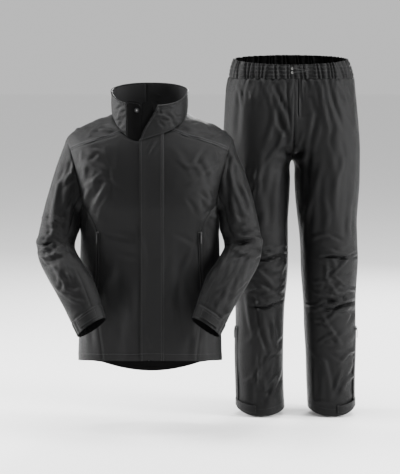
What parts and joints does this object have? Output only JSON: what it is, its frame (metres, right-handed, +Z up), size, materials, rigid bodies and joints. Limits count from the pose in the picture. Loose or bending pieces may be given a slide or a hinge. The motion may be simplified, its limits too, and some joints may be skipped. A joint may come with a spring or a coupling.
{
  "type": "rain suit",
  "caption": "Two-piece rain suit filled out as worn: a stand-collar jacket with a storm flap over its zip, and elastic-waist trousers with pleated knees.",
  "frame": {"origin": "inside the jacket, midway between the shoulders at the height of the neck points, where a wearer's shoulders hold it up", "axes": "+Z up, -Y out of the fronts, +X to the wearer's left; the trousers stand at +X and a little behind"},
  "size_m": [0.985, 0.6026, 1.119],
  "materials": {
    "shell_cloth": "matte coated",
    "lining": "matte",
    "zip_tape": "matte",
    "stud_metal": "satin",
    "waist_cord": "braided"
  },
  "bodies": {
    "root": {"collar": "shell_cloth", "collar_lining": "lining", "collar_placket": "lining", "cuff_left": "shell_cloth", "cuff_right": "shell_cloth", "cuff_tab_left": "shell_cloth", "cuff_tab_right": "shell_cloth", "eyelet_lower": "stud_metal", "eyelet_upper": "stud_metal", "front_zip": "zip_tape", "hem_tab_left": "shell_cloth", "hem_tab_right": "shell_cloth", "jacket_back": "shell_cloth", "jacket_front_left": "shell_cloth", "jacket_front_right": "shell_cloth", "jacket_side_left": "shell_cloth", "jacket_side_right": "shell_cloth", "jacket_yoke": "shell_cloth", "leg_zip_left": "shell_cloth", "leg_zip_right": "shell_cloth", "placket_stud": "stud_metal", "pocket_zip_left": "zip_tape", "pocket_zip_right": "zip_tape", "sleeve_under_left": "shell_cloth", "sleeve_under_right": "shell_cloth", "sleeve_upper_left": "shell_cloth", "sleeve_upper_right": "shell_cloth", "storm_flap": "shell_cloth", "trouser_back_left": "shell_cloth", "trouser_back_right": "shell_cloth", "trouser_front_left": "shell_cloth", "trouser_front_right": "shell_cloth", "waist_cord": "waist_cord", "waistband": "shell_cloth", "zip_garage": "shell_cloth"}
  },
  "joints": []
}
